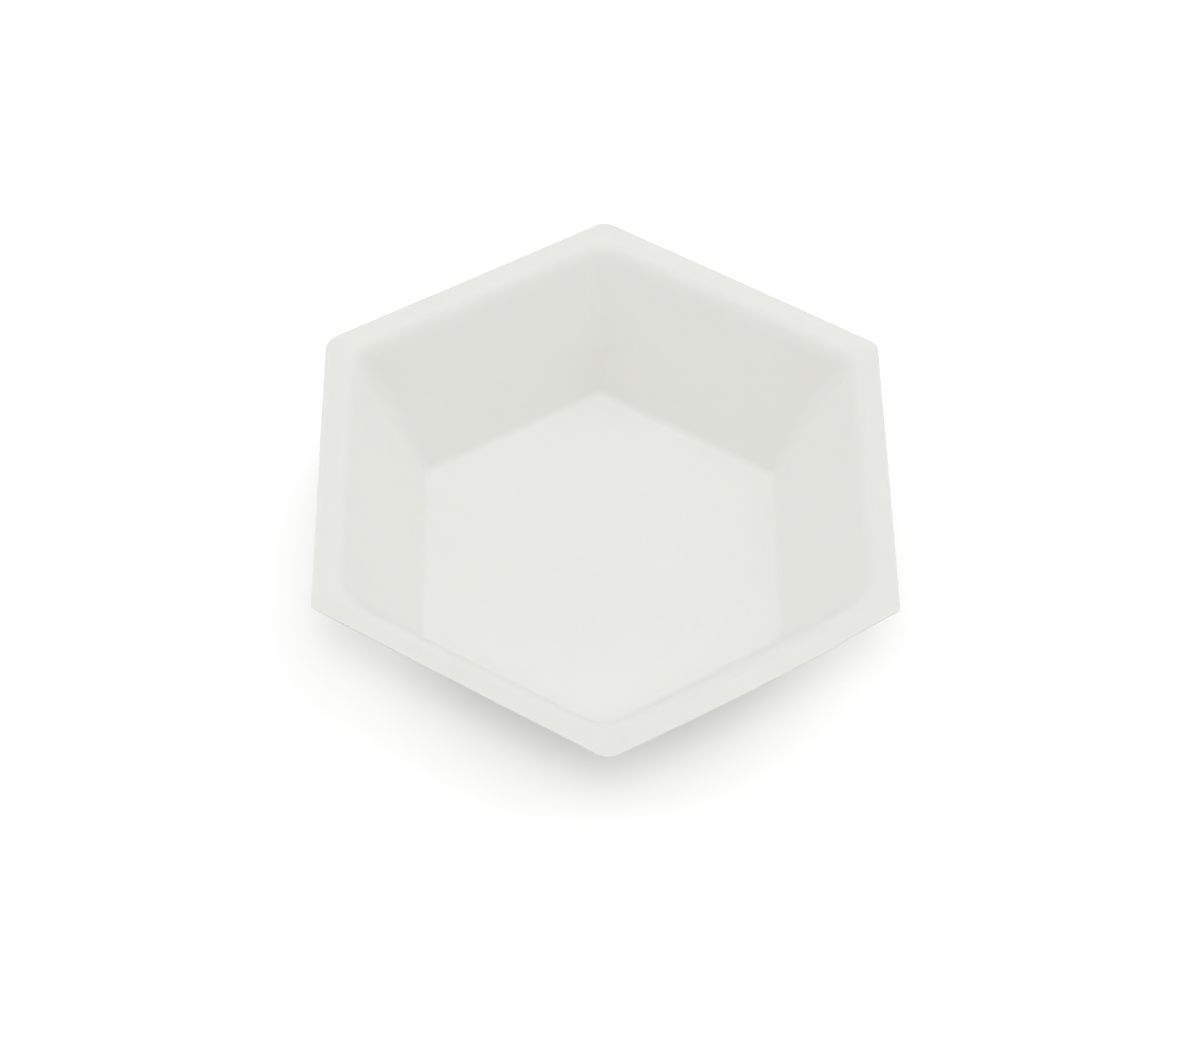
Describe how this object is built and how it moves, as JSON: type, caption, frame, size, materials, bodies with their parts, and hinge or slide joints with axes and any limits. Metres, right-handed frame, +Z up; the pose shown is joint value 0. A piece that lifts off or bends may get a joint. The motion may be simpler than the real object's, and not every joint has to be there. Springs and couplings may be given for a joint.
{
  "type": "weighing boat",
  "caption": "Shallow hexagonal dish formed from one thin white plastic sheet, with a flat floor, sloping walls and a narrow flat flange, for weighing out powders and liquids.",
  "frame": {"origin": "middle of the underside of the floor, on the surface that the boat rests on", "axes": "+Z up through the middle of the floor, +Y through one corner of the hexagon, +X square to one flat side"},
  "size_m": [0.08, 0.0918, 0.0211],
  "materials": {
    "polystyrene_sheet": "satin white thermoformed polystyrene sheet, very slightly warm"
  },
  "bodies": {
    "root": {"boat": "polystyrene_sheet"}
  },
  "joints": []
}
